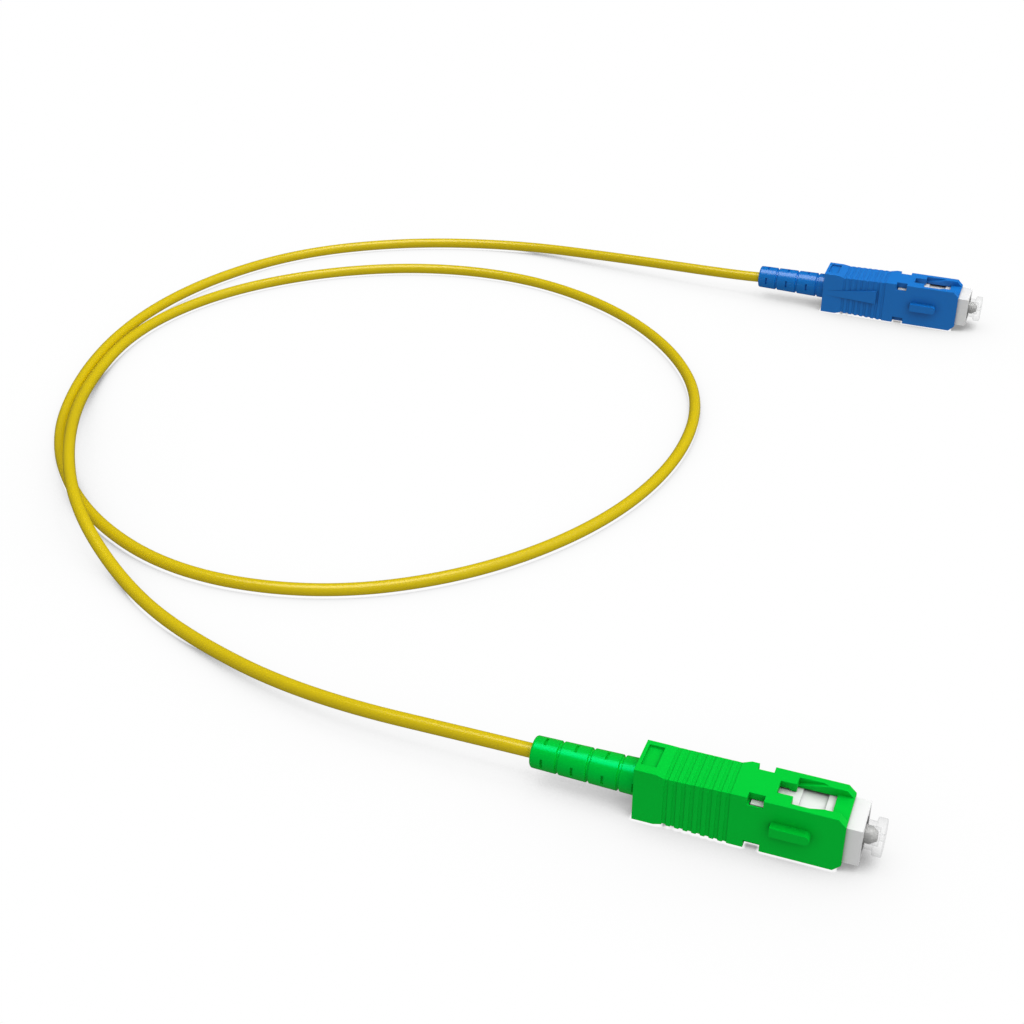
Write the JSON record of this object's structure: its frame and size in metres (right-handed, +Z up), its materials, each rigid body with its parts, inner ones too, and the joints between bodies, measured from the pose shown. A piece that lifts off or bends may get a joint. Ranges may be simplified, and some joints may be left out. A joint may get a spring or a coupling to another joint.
{
  "type": "fibre optic patch cable",
  "caption": "Simplex fibre patch cable with a green angled-polish SC plug at one end, a blue flat-polish SC plug at the other, ringed boots, dust caps and a thin yellow cord.",
  "frame": {"origin": "on the surface that the plugs lie on, midway between the plugs' outer faces", "axes": "+X along both plugs towards their ferrules, +Y from the green plug to the blue one, +Z up"},
  "size_m": [0.1839, 0.1818, 0.009],
  "materials": {
    "yellow_jacket": "semi-gloss PVC jacket",
    "green_plastic": "moulded, satin",
    "blue_plastic": "moulded, satin",
    "green_boot": "soft moulded boot, semi-gloss",
    "blue_boot": "soft moulded boot, semi-gloss",
    "white_plastic": "moulded, satin white",
    "ceramic": "polished zirconia ceramic",
    "nickel_brass": "nickel plated, turned",
    "crimp_metal": "nickel plated, drawn",
    "spring_steel": "drawn wire",
    "aramid": "loose yarn",
    "buffer": "tight buffer on glass",
    "clear_plastic": "clear moulded"
  },
  "bodies": {
    "cable_body": {"cord": "yellow_jacket", "apc_plug_frame": "white_plastic", "apc_spring": "spring_steel", "apc_stop_ring": "nickel_brass", "apc_yarn": "aramid", "apc_crimp_ring": "crimp_metal", "apc_boot": "green_boot", "upc_plug_frame": "white_plastic", "upc_spring": "spring_steel", "upc_stop_ring": "nickel_brass", "upc_yarn": "aramid", "upc_crimp_ring": "crimp_metal", "upc_boot": "blue_boot"},
    "apc_sleeve": {"apc_grip": "green_plastic"},
    "apc_ferrule_set": {"apc_ferrule": "ceramic", "apc_ferrule_holder": "nickel_brass", "apc_fibre": "buffer"},
    "apc_cap": {"apc_dust_cap": "clear_plastic"},
    "upc_sleeve": {"upc_grip": "blue_plastic"},
    "upc_ferrule_set": {"upc_ferrule": "ceramic", "upc_ferrule_holder": "nickel_brass", "upc_fibre": "buffer"},
    "upc_cap": {"upc_dust_cap": "clear_plastic"}
  },
  "joints": [
    {"name": "apc_grip_slide", "type": "slide", "parent": "cable_body", "child": "apc_sleeve", "axis": [-1, 0, 0], "range_m": [0, 0.002]},
    {"name": "apc_ferrule_float", "type": "slide", "parent": "cable_body", "child": "apc_ferrule_set", "axis": [-1, 0, 0], "range_m": [0, 0.001], "stiffness_N_per_m": 150, "springref_m": -0.001, "deforming": ["apc_spring", "apc_fibre"]},
    {"name": "apc_cap_pull", "type": "slide", "parent": "apc_ferrule_set", "child": "apc_cap", "axis": [1, 0, 0], "range_m": [0, 0.02]},
    {"name": "upc_grip_slide", "type": "slide", "parent": "cable_body", "child": "upc_sleeve", "axis": [-1, 0, 0], "range_m": [0, 0.002]},
    {"name": "upc_ferrule_float", "type": "slide", "parent": "cable_body", "child": "upc_ferrule_set", "axis": [-1, 0, 0], "range_m": [0, 0.001], "stiffness_N_per_m": 150, "springref_m": -0.001, "deforming": ["upc_spring", "upc_fibre"]},
    {"name": "upc_cap_pull", "type": "slide", "parent": "upc_ferrule_set", "child": "upc_cap", "axis": [1, 0, 0], "range_m": [0, 0.02]}
  ]
}
